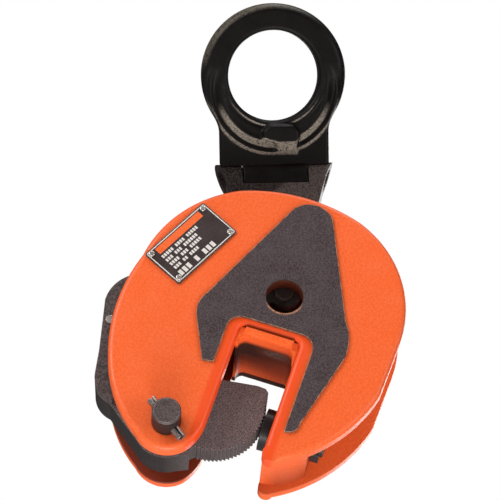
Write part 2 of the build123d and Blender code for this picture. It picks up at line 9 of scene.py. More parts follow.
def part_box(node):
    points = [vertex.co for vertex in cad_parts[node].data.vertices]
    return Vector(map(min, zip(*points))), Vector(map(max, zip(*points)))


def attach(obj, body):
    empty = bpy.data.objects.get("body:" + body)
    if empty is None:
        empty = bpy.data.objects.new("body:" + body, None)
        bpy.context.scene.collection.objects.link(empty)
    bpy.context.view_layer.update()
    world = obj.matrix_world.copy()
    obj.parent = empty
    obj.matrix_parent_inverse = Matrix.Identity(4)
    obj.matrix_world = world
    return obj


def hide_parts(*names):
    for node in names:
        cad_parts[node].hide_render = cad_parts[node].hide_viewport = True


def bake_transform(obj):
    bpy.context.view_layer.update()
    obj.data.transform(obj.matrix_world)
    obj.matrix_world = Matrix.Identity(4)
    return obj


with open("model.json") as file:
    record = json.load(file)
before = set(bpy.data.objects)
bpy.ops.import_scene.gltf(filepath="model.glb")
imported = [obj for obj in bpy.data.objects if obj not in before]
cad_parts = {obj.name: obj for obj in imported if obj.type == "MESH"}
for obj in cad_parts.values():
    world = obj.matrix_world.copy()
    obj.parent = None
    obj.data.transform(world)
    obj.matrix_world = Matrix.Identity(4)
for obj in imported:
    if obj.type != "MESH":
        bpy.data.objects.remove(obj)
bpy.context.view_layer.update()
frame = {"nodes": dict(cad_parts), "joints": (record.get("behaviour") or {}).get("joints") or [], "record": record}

# Vertical plate lifting clamp: looks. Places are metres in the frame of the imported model, with
# x across the slot, y to the back and z up. Sizes on the clamp are millimetres, times MM where
# they meet a place. Lights, floor and camera are in metres.
MM = 0.001
ORIGIN = (0, 0, 0)
X, Y, Z = (1, 0, 0), (0, 1, 0), (0, 0, 1)
NODES = frame["nodes"]
JOINTS = {joint["name"]: joint for joint in frame["joints"]}
EYE_MOUNT = next(m for m in frame["record"]["mounts"] if m["name"] == "lifting_eye")

# The eye's hinge, the direction across the yoke, and the yoke's own up.
HINGE_MID = Vector(JOINTS["eye_hinge"]["pos_m"])
ACROSS = Vector(JOINTS["eye_hinge"]["axis"]).normalized()
ALONG_YOKE = Vector((-ACROSS.z, 0, ACROSS.x))
# The hole through the front plate and its doubler.
HOLE_MID = (0.5 * MM, 0, 21.5 * MM)
HOLE_R = 8.0


# --------------------------------------------------------------- shader helpers
def link(tree, source, target):
    tree.links.new(source, target)


def ramp(tree, source, low, high, dark=0.0, light=1.0):
    """Map range, clamped: low becomes dark and high becomes light."""
    node = tree.nodes.new("ShaderNodeMapRange")
    node.inputs["From Min"].default_value = low
    node.inputs["From Max"].default_value = high
    node.inputs["To Min"].default_value = dark
    node.inputs["To Max"].default_value = light
    link(tree, source, node.inputs["Value"])
    return node.outputs["Result"]


def noise(tree, coords, per_mm, detail=4.0, roughness=0.6):
    """Noise whose pattern repeats about every 1 / per_mm millimetres."""
    node = tree.nodes.new("ShaderNodeTexNoise")
    node.inputs["Scale"].default_value = per_mm / MM
    node.inputs["Detail"].default_value = detail
    node.inputs["Roughness"].default_value = roughness
    link(tree, coords, node.inputs["Vector"])
    return node.outputs["Fac"]


def mix(tree, factor, first, second):
    """Colour mix. first and second are sockets or RGB triples."""
    node = tree.nodes.new("ShaderNodeMix")
    node.data_type = "RGBA"
    link(tree, factor, node.inputs["Factor"])
    for letter, value in (("A", first), ("B", second)):
        socket = next(s for s in node.inputs if s.type == "RGBA" and s.name == letter)
        if isinstance(value, tuple):
            socket.default_value = (*value, 1.0)
        else:
            link(tree, value, socket)
    return next(s for s in node.outputs if s.type == "RGBA")


def multiply(tree, first, second):
    node = tree.nodes.new("ShaderNodeMath")
    node.operation = "MULTIPLY"
    link(tree, first, node.inputs[0])
    link(tree, second, node.inputs[1])
    return node.outputs[0]


def vector_math(tree, operation, first, second=None):
    """Result of a vector operation. first is a socket, second a socket or a plain vector."""
    node = tree.nodes.new("ShaderNodeVectorMath")
    node.operation = operation
    link(tree, first, node.inputs[0])
    if isinstance(second, bpy.types.NodeSocket):
        link(tree, second, node.inputs[1])
    elif second is not None:
        node.inputs[1].default_value = tuple(second)
    return node.outputs["Value" if operation in ("DOT_PRODUCT", "LENGTH") else "Vector"]


def own_coords(tree):
    return tree.nodes.new("ShaderNodeTexCoord").outputs["Object"]


def own_normal(tree):
    return tree.nodes.new("ShaderNodeTexCoord").outputs["Normal"]


BEVEL_SAMPLES = 6
EDGE_COSINES = (0.995, 0.90)     # between true and bevelled normal: no edge, and full edge


def bevel_normal(tree, width_mm):
    """The surface normal, turned as if every edge had a round this wide."""
    bevel = tree.nodes.new("ShaderNodeBevel")
    bevel.samples = BEVEL_SAMPLES
    bevel.inputs["Radius"].default_value = width_mm * MM
    return bevel.outputs["Normal"]


def edge_mask(tree, width_mm):
    """1 on edges and 0 on flats: how far a bevelled normal departs from the true one."""
    bevelled = bevel_normal(tree, width_mm)
    normal = tree.nodes.new("ShaderNodeNewGeometry").outputs["Normal"]
    return ramp(tree, vector_math(tree, "DOT_PRODUCT", bevelled, normal), *EDGE_COSINES)


MOTTLE_LEVELS = (0.38, 0.62)     # levels of the noise between which a pattern comes in
WEAR_PER_MM = 0.35               # fineness of the patches in which edges are rubbed
WEAR_LEVELS = (0.35, 0.6)
DRIFT_PER_MM = 0.12              # fineness of the patches in which the roughness drifts
DRIFT_LEVELS = (0.3, 0.7)
ROUGHNESS_DRIFT = 0.18
GRIT_DEPTH_MM = 0.12
COAT_ROUGHNESS = 0.25


def surface(name, base, spots, spot_per_mm, roughness, metallic=0.0, grit=0.0, grit_per_mm=1.5,
            wear=None, wear_mm=0.5, wear_amount=0.6, round_mm=0.3, coat=0.0, gloss=0.5):
    """A finish: base colour mottled with spots, grit in the bump, and edges worn to a colour."""
    material = bpy.data.materials.new(name)
    material.use_nodes = True
    tree = material.node_tree
    shader = tree.nodes["Principled BSDF"]
    coords = own_coords(tree)

    mottle = ramp(tree, noise(tree, coords, spot_per_mm), *MOTTLE_LEVELS)
    colour = mix(tree, mottle, base, spots)
    if wear is not None:
        patchy = ramp(tree, noise(tree, coords, WEAR_PER_MM), *WEAR_LEVELS, 0.0, wear_amount)
        worn = multiply(tree, edge_mask(tree, wear_mm), patchy)
        colour = mix(tree, worn, colour, wear)
    link(tree, colour, shader.inputs["Base Color"])

    smoothest = roughness * (1 - ROUGHNESS_DRIFT)
    roughest = min(1.0, roughness * (1 + ROUGHNESS_DRIFT))
    drift = noise(tree, coords, DRIFT_PER_MM, detail=2.0)
    link(tree, ramp(tree, drift, *DRIFT_LEVELS, smoothest, roughest), shader.inputs["Roughness"])
    shader.inputs["Metallic"].default_value = metallic
    shader.inputs["Specular IOR Level"].default_value = gloss
    shader.inputs["Coat Weight"].default_value = coat
    shader.inputs["Coat Roughness"].default_value = COAT_ROUGHNESS

    bump = tree.nodes.new("ShaderNodeBump")
    bump.inputs["Strength"].default_value = grit
    bump.inputs["Distance"].default_value = GRIT_DEPTH_MM * MM
    link(tree, noise(tree, coords, grit_per_mm, detail=5.0), bump.inputs["Height"])
    link(tree, bevel_normal(tree, round_mm), bump.inputs["Normal"])
    link(tree, bump.outputs["Normal"], shader.inputs["Normal"])
    return material


# ------------------------------------------------------------------ masks for laid colours: stains and painted light
# Each of these returns a mask: a function that adds nodes to a tree and returns a socket that
# runs from 0, uncovered, to 1, covered.
def along(place, direction, low, high, dark=0.0, light=1.0):
    """Ramp over the millimetres of the shaded point beyond a place, along a direction."""
    def mask(tree):
        reach = vector_math(tree, "SUBTRACT", own_coords(tree), place)
        beyond = vector_math(tree, "DOT_PRODUCT", reach, Vector(direction) / MM)
        return ramp(tree, beyond, low, high, dark, light)
    return mask


def about(place, weights, low, high, dark=0.0, light=1.0):
    """Ramp over the millimetres from a place, each axis weighed: 0 leaves that axis out."""
    def mask(tree):
        reach = vector_math(tree, "SUBTRACT", own_coords(tree), place)
        weighed = vector_math(tree, "MULTIPLY", reach, tuple(w / MM for w in weights))
        return ramp(tree, vector_math(tree, "LENGTH", weighed), low, high, dark, light)
    return mask


def facing(direction, low, high, dark=0.0, light=1.0):
    """Ramp over how far the surface faces a direction fixed to the piece, -1 to 1."""
    def mask(tree):
        turned = vector_math(tree, "DOT_PRODUCT", own_normal(tree), direction)
        return ramp(tree, turned, low, high, dark, light)
    return mask


def patches(per_mm, low, high):
    """Blotches, finer with a higher per_mm."""
    def mask(tree):
        return ramp(tree, noise(tree, own_coords(tree), per_mm, detail=3.0), low, high)
    return mask


def away_from_face(tree):
    """A mask in itself: 1 on walls that run through the thickness, 0 on front and back faces."""
    split = tree.nodes.new("ShaderNodeSeparateXYZ")
    link(tree, own_normal(tree), split.inputs[0])
    size = tree.nodes.new("ShaderNodeMath")
    size.operation = "ABSOLUTE"
    link(tree, split.outputs["Y"], size.inputs[0])
    return ramp(tree, size.outputs[0], 0.3, 0.8, 1.0, 0.0)


def lay_colour(material, masks, colour):
    """Lay a colour over the base colour where every mask is high."""
    tree = material.node_tree
    socket = tree.nodes["Principled BSDF"].inputs["Base Color"]
    under = socket.links[0].from_socket
    factor = masks[0](tree)
    for mask in masks[1:]:
        factor = multiply(tree, factor, mask(tree))
    link(tree, mix(tree, factor, under, colour), socket)
    return material


def copy_with_colour(slot_name, name, masks, colour):
    """A copy of a slot's finish with a colour laid over it: a stain, painted light or painted shade."""
    material = FINISH[slot_name].copy()
    material.name = name
    return lay_colour(material, masks, colour)


# ------------------------------------------------------------------- finishes
FINISH = {
    "orange_paint": surface(
        "orange_paint", (0.84, 0.104, 0.018), (0.90, 0.150, 0.036), 1.1, 0.42,
        grit=0.12, grit_per_mm=0.8, wear=(0.42, 0.09, 0.03), wear_mm=0.35,
        wear_amount=0.22, round_mm=0.6, coat=0.10, gloss=0.32),
    "dark_grit_coat": surface(
        "dark_grit_coat", (0.022, 0.012, 0.014), (0.082, 0.054, 0.056), 1.6, 0.82,
        grit=0.9, grit_per_mm=2.0, wear=(0.80, 0.38, 0.18), wear_mm=0.5,
        wear_amount=1.0, round_mm=0.15),
    "name_plate": surface(
        "name_plate", (0.022, 0.011, 0.011), (0.042, 0.024, 0.022), 1.6, 0.45,
        grit=0.15, wear=(0.55, 0.5, 0.45), wear_mm=0.2, round_mm=0.1),
    "bright_rivet": surface(
        "bright_rivet", (0.55, 0.50, 0.47), (0.70, 0.67, 0.63), 2.0, 0.34, 0.9,
        grit=0.15, round_mm=0.2),
    "pin_steel": surface(
        "pin_steel", (0.050, 0.033, 0.031), (0.145, 0.105, 0.098), 2.2, 0.50, 0.35,
        grit=0.45, grit_per_mm=2.6, wear=(0.62, 0.56, 0.53), wear_mm=0.4,
        wear_amount=0.75, round_mm=0.25),
    "spring_steel": surface(
        "spring_steel", (0.20, 0.16, 0.15), (0.38, 0.33, 0.31), 1.4, 0.33, 0.85,
        grit=0.15, wear=(0.7, 0.66, 0.62), round_mm=0.15),
    "cam_steel": surface(
        "cam_steel", (0.055, 0.040, 0.040), (0.270, 0.215, 0.212), 2.6, 0.66, 0.10,
        grit=1.0, grit_per_mm=1.8, wear=(0.42, 0.34, 0.32), wear_mm=0.35,
        wear_amount=0.7, round_mm=0.2, gloss=0.3),
    "link_steel": surface(
        "link_steel", (0.035, 0.028, 0.028), (0.065, 0.052, 0.050), 1.6, 0.55, 0.2,
        grit=0.4, round_mm=0.3),
    "black_forging": surface(
        "black_forging", (0.0022, 0.0010, 0.0010), (0.0050, 0.0028, 0.0026), 1.8, 0.46,
        grit=0.5, grit_per_mm=1.3, wear=(0.050, 0.038, 0.030), wear_mm=0.7,
        wear_amount=0.5, round_mm=0.5, gloss=0.16),
    "lever_steel": surface(
        "lever_steel", (0.014, 0.010, 0.010), (0.110, 0.080, 0.076), 1.5, 0.62, 0.10,
        grit=0.9, grit_per_mm=0.9, wear=(0.20, 0.15, 0.13), wear_mm=0.5, round_mm=0.4),
    "black_pad_steel": surface(
        "black_pad_steel", (0.010, 0.008, 0.009), (0.022, 0.017, 0.017), 1.6, 0.36, 0.3,
        grit=0.25, wear=(0.12, 0.10, 0.09), wear_mm=0.4, round_mm=0.4),
}


# --------------------------------------------------- finishes of single nodes
# Painted shade: a near-black laid where shade falls, in the slot's throat and on the wall of the hole.
SHADE_BLACK = (0.020, 0.008, 0.006)
DUST = (0.088, 0.066, 0.058)
BARE = (0.11, 0.080, 0.072)
# Painted shade on the wall of the hole through the front plate and its doubler.
SHADED_HOLE_WALL = about(HOLE_MID, (1, 0, 1), HOLE_R, HOLE_R + 0.4, 0.9, 0.0)


def throat_shade_and_wear():
    """The slot's throat: painted shade towards the front, behind a lit strip at the very front, with a bare patch,
    a painted black strip along the back edge for the shaded gap there, and a painted dark line for the shaded seam
    at the front."""
    material = copy_with_colour("orange_paint", "throat_shade_and_wear", [
        along(ORIGIN, Y, -15.5, -12.5),
        along(ORIGIN, Y, -4.0, 12.0, 0.97, 0.0),
        along(ORIGIN, X, -6.0, 12.0, 1.0, 0.80)], SHADE_BLACK)
    lay_colour(material, [
        about((4.5 * MM, -9.5 * MM, 0), (0.55, 1.0, 0.5), 2.2, 3.6, 0.9, 0.0),
        patches(0.5, 0.40, 0.50)], BARE)
    # Painted black strip for the shaded gap along the back edge.
    lay_colour(material, [along(ORIGIN, Y, 15.4, 16.0, 0.0, 0.97)], SHADE_BLACK)
    # Painted dark line for the shaded seam at the front.
    lay_colour(material, [
        along(ORIGIN, Z, 3.2, 3.7),
        along(ORIGIN, Y, -19.2, -18.6, 0.95, 0.0)], SHADE_BLACK)
    shader = material.node_tree.nodes["Principled BSDF"]
    shader.inputs["Coat Weight"].default_value = 0.0
    shader.inputs["Specular IOR Level"].default_value = 0.06
    return material


def dust_and_shadow_forging():
    """Black forging with dust on the yoke's ears, lighter on the left, stopped along slanting lines at the edge of
    the tongue's shadow, so the black above them is painted shadow.
    """
    material = copy_with_colour("black_forging", "dust_and_shadow_forging", [
        along(HINGE_MID, ACROSS * 0.65 - ALONG_YOKE * 0.76, 5.6, 7.4),
        patches(1.6, 0.30, 0.60)], DUST)
    return lay_colour(material, [
        along(HINGE_MID, ACROSS * -0.42 - ALONG_YOKE * 0.91, 1.5, 5.0, 0.0, 0.5),
        patches(1.6, 0.42, 0.62)], DUST)


def cam_side_shade():
    """Cam steel with painted shade on its side band, darkest towards the tail under the plate."""
    return copy_with_colour("cam_steel", "cam_side_shade", [
        away_from_face,
        along(ORIGIN, X, -26.0, -14.0, 0.92, 0.45)], (0.010, 0.006, 0.006))


def front_plate_shade_paint():
    """Painted shade: a deeper orange on the bead round the slot, where less light falls, and a dark wall in the
    hole.
    """
    material = copy_with_colour("orange_paint", "front_plate_shade_paint", [
        about(ORIGIN, X, 17.0, 18.5, 0.85, 0.0),
        along(ORIGIN, Z, 8.0, 9.5, 1.0, 0.0)], (0.84, 0.070, 0.008))
    return lay_colour(material, [SHADED_HOLE_WALL], SHADE_BLACK)


def front_doubler_shaded_coat():
    """Painted shade on the wall of the hole, and an orange crescent along the lower edge of it."""
    material = copy_with_colour("dark_grit_coat", "front_doubler_shaded_coat", [SHADED_HOLE_WALL], SHADE_BLACK)
    return lay_colour(material, [
        about(HOLE_MID, (1, 0, 1), HOLE_R + 0.2, HOLE_R + 0.9, 0.9, 0.0),
        along(HOLE_MID, (0.3, 0, -1), 3.0, 6.0),
        patches(1.6, 0.35, 0.55)], (0.55, 0.24, 0.12))


def back_plate_shade_paint():
    """Painted shade on the inner face between the plates, deepest behind the cam."""
    return copy_with_colour("orange_paint", "back_plate_shade_paint", [
        along(ORIGIN, Y, 14.7, 16.5, 1.0, 0.0),
        along(ORIGIN, X, -20.0, 38.0, 0.95, 0.05)], (0.16, 0.020, 0.008))


def toe_shade_paint():
    """Painted shade between the plates: darker towards the back and away from the pad."""
    return copy_with_colour("orange_paint", "toe_shade_paint", [
        along(ORIGIN, Y, -9.0, 12.0, 0.0, 0.75),
        along(ORIGIN, X, 13.5, 20.0, 0.3, 1.0)], (0.22, 0.028, 0.010))


# Painted shade on the walls of the pin, leaving its end faces lit.
def pin_side_shade():
    return copy_with_colour("pin_steel", "pin_side_shade", [away_from_face], (0.020, 0.012, 0.011))


def dress_nodes():
    """Every node gets its slot's finish, or its own."""
    own_finish = {
        "plate_stop": throat_shade_and_wear(),
        "yoke": dust_and_shadow_forging(),
        "toothed_cam": cam_side_shade(),
        "front_side_plate": front_plate_shade_paint(),
        "front_doubler": front_doubler_shaded_coat(),
        "cam_pin": pin_side_shade(),
        "lever_rivet": FINISH["bright_rivet"],
        "back_side_plate": back_plate_shade_paint(),
        "fixed_jaw_block": toe_shade_paint(),
    }
    for subpart in frame["record"]["subparts"]:
        mesh = NODES[subpart["node"]].data
        mesh.materials.clear()
        mesh.materials.append(own_finish.get(subpart["node"], FINISH[subpart["material_slot"]]))


dress_nodes()


# ---------------------------------------------------------------- mesh helpers
MERGE_DISTANCE = 0.001 * MM


def mesh_object(name, verts, faces):
    mesh = bpy.data.meshes.new(name)
    mesh.from_pydata([tuple(v) for v in verts], [], faces)
    made = bpy.data.objects.new(name, mesh)
    bpy.context.scene.collection.objects.link(made)
    return made


def make_piece(name, verts, faces, slot_name, paint=None, smooth=True):
    """A mesh piece of a material slot, in that slot's finish or in its own paint."""
    piece = mesh_object(name, verts, faces)
    piece.data.validate()
    piece.data.update()
    for polygon in piece.data.polygons:
        polygon.use_smooth = smooth
    piece.data.materials.append(paint or FINISH[slot_name])
    return piece


def tidy_normals(mesh):
    """Merge doubled points and turn every face outwards."""
    work = bmesh.new()
    work.from_mesh(mesh)
    bmesh.ops.remove_doubles(work, verts=work.verts, dist=MERGE_DISTANCE)
    bmesh.ops.recalc_face_normals(work, faces=work.faces)
    work.to_mesh(mesh)
    work.free()


def smoothstep(low, high, value):
    """0 at low, 1 at high and level at both. low may be the larger of the two."""
    t = min(1.0, max(0.0, (value - low) / (high - low)))
    return t * t * (3 - 2 * t)


# ---------------------------------------------------------------- lifting eye
# Points of the eye are (u, v, h) in mm from the middle of the ring: u across, v towards the
# top of the ring, h out of its face.
RING_MID = Vector(EYE_MOUNT["pos_m"])
EYE_OUT = Vector(EYE_MOUNT["axis"]).normalized()
AHEAD = (RING_MID - HINGE_MID).normalized()
EYE_ARM = (RING_MID - HINGE_MID).length / MM
BORE_R = EYE_MOUNT["dims"]["r_mm"]
BORE_ROUND = 2.0                 # width of the rounded edge of the bore
BORE_KEEP = 0.70                 # share of the thickness left at that edge
RING_HALF_T = EYE_MOUNT["dims"]["length_mm"] / 2
RING_R = 31.6
RIM_ROUND = 3.6                  # width of the rounded outer rim, round the ring
RIM_KEEP = 0.34                  # share of the thickness left at the rim
TONGUE_ROUND = 1.4               # width of the rounded rim, round the tongue
ROUND_CHANGE_V = (-22.0, -8.0)   # where the one width passes into the other
TONGUE_HALF_W = 24.1
TONGUE_TOP_V = -5.0
TONGUE_ARC_V = -3.04             # middle and radius of the arc across the end of the tongue
TONGUE_ARC_R = 43.7
CORNER_BLEND = 3.0               # softness of the corners between ring and tongue
KNUCKLE_HALF = 14.0
KNUCKLE_R = 8.9
KNUCKLE_GAP = 0.15               # between an end of the knuckle and the hollow beside it
PIN_HOLE_R = 5.05
PIN_HOLE_PAST = 2.0              # how far the hole's cutter reaches past the knuckle
EAR_ROOM_R = 8.4                 # hollow in the tongue round each ear of the yoke
EAR_ROOM_END = 28.0

# The face below the ring is forged in steps: rise in mm, and the distances where it starts and
# ends, measured from the edge of the bore or from the middle of the ribs.
STEPS_FROM_BORE = ((-0.7, 1.0, 2.6), (0.5, 2.8, 3.6))
STEPS_FROM_RIB_MID = ((0.5, 21.6, 22.8), (-2.7, 22.8, 26.4), (0.9, 26.4, 27.6), (-1.4, 28.0, 29.2))
RIB_MID_V = -5.5
FACE_SINK = 0.5                  # how far the stepped face lies below the ring's
BELOW_RING_V = (6.0, -10.0)      # the steps come in between these

LUG_TOP = RING_HALF_T + 2.3
LUG_TOP_U, LUG_TOP_HALF_W = 2.6, 8.0
LUG_FOOT_U, LUG_FOOT_HALF_W = 5.2, 4.8
LUG_NECK = 2.6                   # how much narrower the lug is where it leaves the collar
LUG_EDGE = 0.9                   # half width of its sloping sides
LUG_START_V = -22.2
LUG_BREAK_V = -28.6              # the lug's face slopes down from here
LUG_END_V = -34.4

TURNS = 288                      # rows of points round the ring
RINGS = 60                       # points from bore to rim
HALVINGS = 40


def eye_point(u, v, h):
    return RING_MID + (ACROSS * u + AHEAD * v + EYE_OUT * h) * MM


def eye_outline(u, v):
    """Signed distance to the outline of ring and tongue, negative inside, corners blended."""
    ring = sqrt(u * u + v * v) - RING_R
    round_end = sqrt(u * u + (v - TONGUE_ARC_V) ** 2) - TONGUE_ARC_R
    tongue = max(abs(u) - TONGUE_HALF_W, round_end, v - TONGUE_TOP_V)
    k = max(0.0, min(1.0, 0.5 + 0.5 * (tongue - ring) / CORNER_BLEND))
    return tongue * (1 - k) + ring * k - CORNER_BLEND * k * (1 - k)


def outline_radius(angle):
    """Distance from the ring's middle to the outline, by halving."""
    low, high = BORE_R + 1.0, EYE_ARM
    for _ in range(HALVINGS):
        middle = (low + high) / 2
        if eye_outline(middle * cos(angle), middle * sin(angle)) < 0:
            low = middle
        else:
            high = middle
    return low


def lug_share(u, v):
    """How much of the lug stands at a point, 0 to 1."""
    taper = smoothstep(LUG_BREAK_V + 1.6, LUG_BREAK_V - 0.8, v)
    middle = LUG_TOP_U + (LUG_FOOT_U - LUG_TOP_U) * taper
    half_w = LUG_TOP_HALF_W + (LUG_FOOT_HALF_W - LUG_TOP_HALF_W) * taper
    half_w -= LUG_NECK * smoothstep(LUG_START_V - 2.3, LUG_START_V + 1.2, v)
    across = smoothstep(half_w + LUG_EDGE, half_w - LUG_EDGE, abs(u - middle))
    slope = 1.0 - 0.9 * max(0.0, min(1.0, (LUG_BREAK_V - v) / (LUG_BREAK_V - LUG_END_V)))
    start = smoothstep(LUG_START_V + 1.6, LUG_START_V, v)
    return across * start * smoothstep(LUG_END_V - 0.6, LUG_END_V, v) * slope


def rounding(distance, width, keep):
    """Thickness near an edge, as a share: a quarter round as wide as width."""
    near = max(0.0, 1 - distance / width)
    return keep + (1 - keep) * sqrt(1 - near * near)


def eye_height(u, v, to_rim, to_bore):
    """Half thickness: forged steps below the ring, the lug, and rounded edges."""
    below = smoothstep(*BELOW_RING_V, v)
    rib_r = sqrt(u * u + (v - RIB_MID_V) ** 2)
    steps = sum(rise * smoothstep(low, high, to_bore) for rise, low, high in STEPS_FROM_BORE)
    steps += sum(rise * smoothstep(low, high, rib_r) for rise, low, high in STEPS_FROM_RIB_MID)
    height = RING_HALF_T + below * (steps - FACE_SINK)
    height += max(0.0, LUG_TOP - height) * lug_share(u, v)
    rim_round = TONGUE_ROUND + (RIM_ROUND - TONGUE_ROUND) * smoothstep(*ROUND_CHANGE_V, v)
    rim = rounding(to_rim, rim_round, RIM_KEEP)
    return height * rim * rounding(to_bore, BORE_ROUND, BORE_KEEP)


def highlit_forging():
    """Black forging with painted highlights: grey where the steps below the ring face down towards the light, and
    on the upper left of the rim.
    """
    material = copy_with_colour("black_forging", "highlit_forging", [
        facing(-AHEAD, 0.16, 0.42),
        facing(EYE_OUT, 0.30, 0.60),
        along(RING_MID, AHEAD, -35.0, -34.0),
        along(RING_MID, AHEAD, -8.0, -16.0),
        patches(1.3, 0.30, 0.56)], (0.30, 0.26, 0.21))
    return lay_colour(material, [
        facing(AHEAD * 0.86 - ACROSS * 0.5, 0.30, 0.75, 0.0, 0.9),
        along(RING_MID, AHEAD, 0.0, 8.0),
        patches(1.5, 0.36, 0.58)], (0.12, 0.10, 0.075))


def barrel(name, radius, from_u, to_u, steps=64):
    """Closed cylinder about the eye's hinge axis, for adding or cutting."""
    verts = []
    for u in (from_u, to_u):
        for i in range(steps):
            angle = tau * i / steps
            place = AHEAD * sin(angle) + EYE_OUT * cos(angle)
            verts.append(HINGE_MID + (ACROSS * u + place * radius) * MM)
    faces = [tuple(range(steps)), tuple(reversed(range(steps, 2 * steps)))]
    for i in range(steps):
        after = (i + 1) % steps
        faces.append((i, i + steps, after + steps, after))
    tool = mesh_object(name, verts, faces)
    tidy_normals(tool.data)
    return tool


def combine(piece, tool, operation):
    """Apply a boolean of piece with tool, and remove tool."""
    modifier = piece.modifiers.new(operation, "BOOLEAN")
    modifier.operation = operation
    modifier.solver = "EXACT"
    modifier.object = tool
    depsgraph = bpy.context.evaluated_depsgraph_get()
    final = bpy.data.meshes.new_from_object(piece.evaluated_get(depsgraph))
    piece.modifiers.clear()
    piece.data = final
    bpy.data.objects.remove(tool)


def height_field():
    """Points and faces of the eye: two height fields, back to back, joined at bore and rim."""
    verts = []
    for side in (1, -1):
        for turn in range(TURNS):
            angle = tau * turn / TURNS
            reach = outline_radius(angle)
            for step in range(RINGS):
                share = 0.5 - 0.5 * cos(pi * step / (RINGS - 1))
                radius = BORE_R + (reach - BORE_R) * share
                u, v = radius * cos(angle), radius * sin(angle)
                to_rim = max(0.0, -eye_outline(u, v))
                verts.append(eye_point(u, v, side * eye_height(u, v, to_rim, radius - BORE_R)))
    faces = []
    half = TURNS * RINGS
    for turn in range(TURNS):
        this, after = turn * RINGS, (turn + 1) % TURNS * RINGS
        for step in range(RINGS - 1):
            a, b = this + step, this + step + 1
            c, d = after + step + 1, after + step
            faces.append((a, b, c, d))
            faces.append((half + d, half + c, half + b, half + a))
        faces.append((this, after, half + after, half + this))
        end_this, end_after = this + RINGS - 1, after + RINGS - 1
        faces.append((end_this, half + end_this, half + end_after, end_after))
    return verts, faces


def build_eye():
    """Ring and tongue, with the knuckle added and room cut for the yoke's ears and the pin."""
    verts, faces = height_field()
    eye = make_piece("lifting_eye_forging", verts, faces, "black_forging", highlit_forging())
    tidy_normals(eye.data)
    end_u = KNUCKLE_HALF - KNUCKLE_GAP
    combine(eye, barrel("knuckle", KNUCKLE_R, -end_u, end_u), "UNION")
    for end in (-1, 1):
        low, high = sorted((end * KNUCKLE_HALF, end * EAR_ROOM_END))
        combine(eye, barrel("ear_room", EAR_ROOM_R, low, high), "DIFFERENCE")
    hole_end = KNUCKLE_HALF + PIN_HOLE_PAST
    combine(eye, barrel("pin_hole", PIN_HOLE_R, -hole_end, hole_end), "DIFFERENCE")
    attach(eye, "eye")
    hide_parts("lifting_eye")


build_eye()


# ----------------------------------------------------------------- cam spring
# The spring runs from the lever's pivot to the anchor on the tail of the cam. Sizes are in mm.
HOOK_TOP = Vector(JOINTS["lever_hinge"]["pos_m"])
SPRING_R = 2.9                   # middle of the wire
WIRE_R = 0.6
WIRE_SIDES = 10
COILS = 23
PER_COIL = 18                    # points in one coil
COIL_FROM_TOP = 8.5              # where the coils begin and end, from the middle of each hook
COIL_FROM_FOOT = 6.0
TOP_HOOK_R, TOP_HOOK_START = 4.8, 300
FOOT_HOOK_R, FOOT_HOOK_START = 2.8, 160
HOOK_SWEEP = -280                # degrees
HOOK_POINTS = 20


def tube(name, path, radius, slot_name):
    """Round wire along a path, closed at both ends."""
    verts, faces = [], []
    normal = Vector(Y)
    for i, point in enumerate(path):
        before, after = path[max(0, i - 1)], path[min(len(path) - 1, i + 1)]
        tangent = (after - before).normalized()
        normal = (normal - tangent * normal.dot(tangent)).normalized()
        other = tangent.cross(normal)
        for side in range(WIRE_SIDES):
            angle = tau * side / WIRE_SIDES
            verts.append(point + (normal * cos(angle) + other * sin(angle)) * radius)
    for i in range(len(path) - 1):
        for side in range(WIRE_SIDES):
            a, b = i * WIRE_SIDES + side, i * WIRE_SIDES + (side + 1) % WIRE_SIDES
            faces.append((a, b, b + WIRE_SIDES, a + WIRE_SIDES))
    last = (len(path) - 1) * WIRE_SIDES
    faces.append(tuple(reversed(range(WIRE_SIDES))))
    faces.append(tuple(range(last, last + WIRE_SIDES)))
    return make_piece(name, verts, faces, slot_name)


def build_spring():
    """Closely wound extension spring with a hook at each end."""
    low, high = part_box("cam_spring_anchor")
    foot = (low + high) / 2
    line = (foot - HOOK_TOP).normalized()
    side = line.cross(Vector(Y)).normalized()
    length = (foot - HOOK_TOP).length / MM

    def hook(centre, radius, start):
        """Hook round a pin, in the plane of the side plates. start is in degrees."""
        points = []
        for i in range(HOOK_POINTS + 1):
            angle = radians(start) + radians(HOOK_SWEEP) * i / HOOK_POINTS
            points.append(centre + (line * cos(angle) + side * sin(angle)) * radius * MM)
        return points

    begin, end = COIL_FROM_TOP, length - COIL_FROM_FOOT
    coil = []
    for i in range(COILS * PER_COIL + 1):
        share = i / (COILS * PER_COIL)
        angle = tau * COILS * share
        centre = HOOK_TOP + line * (begin + (end - begin) * share) * MM
        coil.append(centre + (side * cos(angle) + Vector(Y) * sin(angle)) * SPRING_R * MM)
    top_hook = hook(HOOK_TOP, TOP_HOOK_R, TOP_HOOK_START)
    foot_hook = hook(foot, FOOT_HOOK_R, FOOT_HOOK_START)
    spring = tube("cam_spring_coil", top_hook + coil + foot_hook, WIRE_R * MM, "spring_steel")
    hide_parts("cam_spring")
    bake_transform(spring)


build_spring()


# ----------------------------------------------------------- name plate detail
# Places on the plate are (across, along) in mm from its middle. It carries no lettering.
PLATE_LOW, PLATE_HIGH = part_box("name_plate")
PLATE_MID = (PLATE_LOW + PLATE_HIGH) / 2
PLATE_W, PLATE_L = 20.0, 35.3
PLATE_TURN = radians(-25.7)
PLATE_X = Vector((cos(PLATE_TURN), 0, sin(PLATE_TURN)))
PLATE_Z = Vector((-sin(PLATE_TURN), 0, cos(PLATE_TURN)))
PRINT_T = 0.06                   # thickness of the print
BORDER_W = 0.45
BORDER_INSET = 0.7
BAND = (-7.0, 0.0, 3.2, 26.0)    # across, along, width, length
